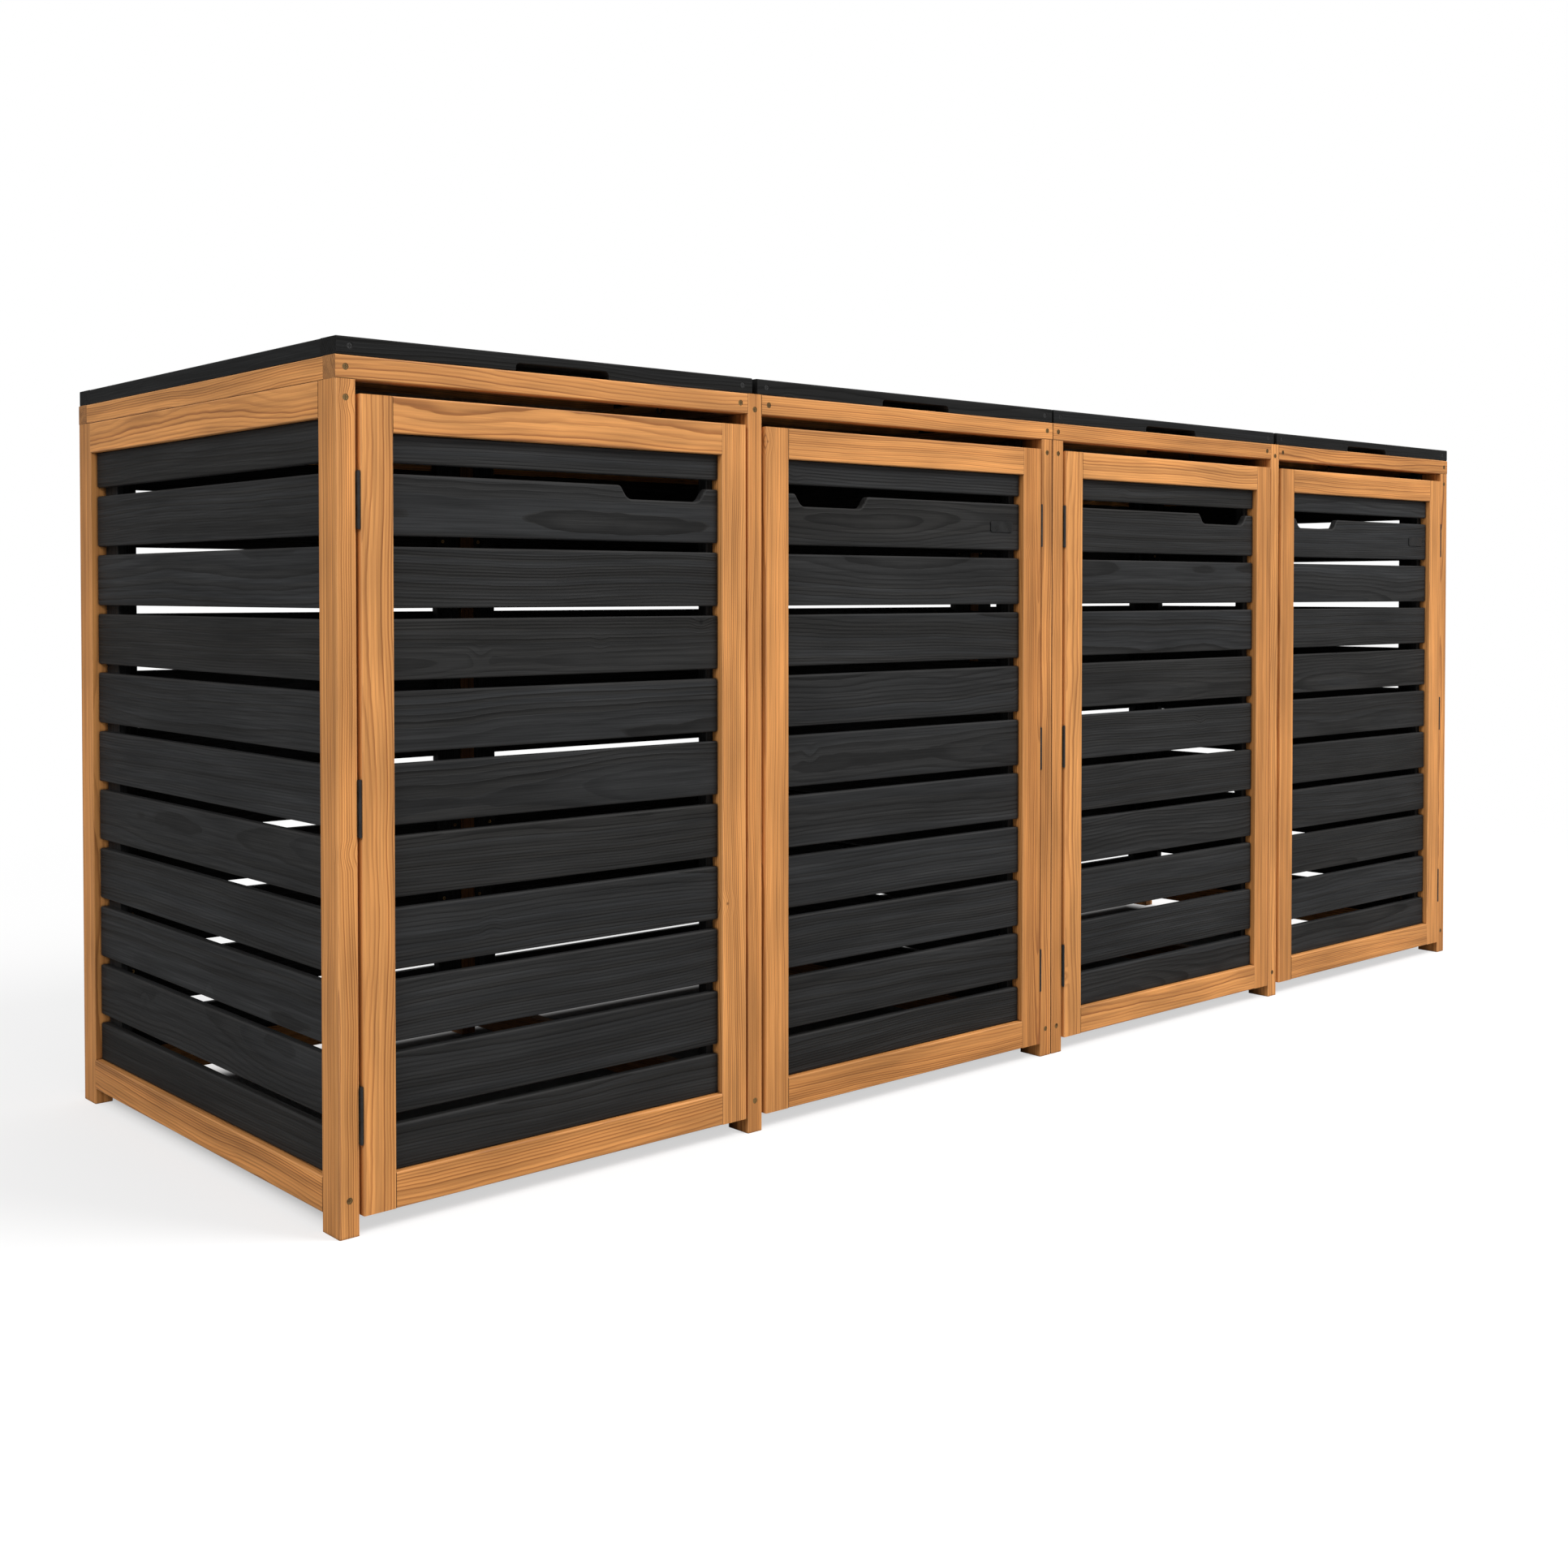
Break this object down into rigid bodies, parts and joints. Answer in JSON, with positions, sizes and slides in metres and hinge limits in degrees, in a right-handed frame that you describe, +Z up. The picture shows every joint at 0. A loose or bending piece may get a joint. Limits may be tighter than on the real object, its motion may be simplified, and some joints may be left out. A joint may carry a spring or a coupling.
{
  "type": "wheeled bin store",
  "caption": "Slatted timber store for wheeled bins: open bays side by side, each with a hinged front door and a hinged lid.",
  "frame": {"origin": "on the ground under the middle of the store's outer box, hinges included", "axes": "+Z up; the doors face -Y and the lids hinge at the back, towards +Y; +X along the row of bays"},
  "size_m": [2.962, 0.9304, 1.22],
  "materials": {
    "frame_timber": "pressure-treated softwood with a warm brown stain, planed and eased, matt",
    "dark_slats": "softwood with an opaque anthracite stain, grain showing through, matt",
    "dark_lid": "softwood with an opaque near-black stain, matt",
    "black_steel": "black powder-coated steel, satin",
    "zinc": "bright zinc plating, a little dulled",
    "black_plastic": "moulded black plastic",
    "blank_plate": "plain dark enamelled plate without any marking, satin"
  },
  "bodies": {
    "root": {"left_unit_posts": "frame_timber", "left_unit_top_frame": "frame_timber", "left_unit_cross_rails": "frame_timber", "left_unit_back_rails": "frame_timber", "left_unit_side_slats": "dark_slats", "left_unit_back_slats": "dark_slats", "left_unit_battens": "dark_slats", "right_unit_posts": "frame_timber", "right_unit_top_frame": "frame_timber", "right_unit_cross_rails": "frame_timber", "right_unit_back_rails": "frame_timber", "right_unit_side_slats": "dark_slats", "right_unit_back_slats": "dark_slats", "right_unit_battens": "dark_slats", "door_hinge_fixed_leaves": "black_steel", "lid_hinge_fixed_leaves": "black_steel", "hinge_pins": "black_steel", "frame_screws": "zinc", "magnet_catches": "black_plastic", "lid_stay_eyes": "black_steel", "unit_bolts": "zinc"},
    "door_1": {"door_1_stiles": "frame_timber", "door_1_rails": "frame_timber", "door_1_slats": "dark_slats", "door_1_battens": "dark_slats", "door_1_fittings": "black_steel"},
    "door_2": {"door_2_stiles": "frame_timber", "door_2_rails": "frame_timber", "door_2_slats": "dark_slats", "door_2_battens": "dark_slats", "door_2_fittings": "black_steel", "door_2_plate": "blank_plate"},
    "door_3": {"door_3_stiles": "frame_timber", "door_3_rails": "frame_timber", "door_3_slats": "dark_slats", "door_3_battens": "dark_slats", "door_3_fittings": "black_steel"},
    "door_4": {"door_4_stiles": "frame_timber", "door_4_rails": "frame_timber", "door_4_slats": "dark_slats", "door_4_battens": "dark_slats", "door_4_fittings": "black_steel", "door_4_plate": "blank_plate"},
    "lid_1": {"lid_1_frame": "dark_lid", "lid_1_boards": "dark_lid", "lid_1_battens": "frame_timber", "lid_1_fittings": "black_steel"},
    "lid_2": {"lid_2_frame": "dark_lid", "lid_2_boards": "dark_lid", "lid_2_battens": "frame_timber", "lid_2_fittings": "black_steel"},
    "lid_3": {"lid_3_frame": "dark_lid", "lid_3_boards": "dark_lid", "lid_3_battens": "frame_timber", "lid_3_fittings": "black_steel"},
    "lid_4": {"lid_4_frame": "dark_lid", "lid_4_boards": "dark_lid", "lid_4_battens": "frame_timber", "lid_4_fittings": "black_steel"}
  },
  "joints": [
    {"name": "door_1_hinge", "type": "hinge", "parent": "root", "child": "door_1", "pos_m": [-1.4485, -0.46305, 0.5825], "axis": [0, 0, -1], "range_deg": [0, 110]},
    {"name": "door_2_hinge", "type": "hinge", "parent": "root", "child": "door_2", "pos_m": [-0.0335, -0.46305, 0.5825], "axis": [0, 0, 1], "range_deg": [0, 90]},
    {"name": "door_3_hinge", "type": "hinge", "parent": "root", "child": "door_3", "pos_m": [0.0335, -0.46305, 0.5825], "axis": [0, 0, -1], "range_deg": [0, 90]},
    {"name": "door_4_hinge", "type": "hinge", "parent": "root", "child": "door_4", "pos_m": [1.4485, -0.46305, 0.5825], "axis": [0, 0, 1], "range_deg": [0, 110]},
    {"name": "lid_1_hinge", "type": "hinge", "parent": "root", "child": "lid_1", "pos_m": [-1.113, 0.46205, 1.195], "axis": [-1, 0, 0], "range_deg": [0, 95]},
    {"name": "lid_2_hinge", "type": "hinge", "parent": "root", "child": "lid_2", "pos_m": [-0.369, 0.46205, 1.195], "axis": [-1, 0, 0], "range_deg": [0, 95]},
    {"name": "lid_3_hinge", "type": "hinge", "parent": "root", "child": "lid_3", "pos_m": [0.369, 0.46205, 1.195], "axis": [-1, 0, 0], "range_deg": [0, 95]},
    {"name": "lid_4_hinge", "type": "hinge", "parent": "root", "child": "lid_4", "pos_m": [1.113, 0.46205, 1.195], "axis": [-1, 0, 0], "range_deg": [0, 95]}
  ]
}
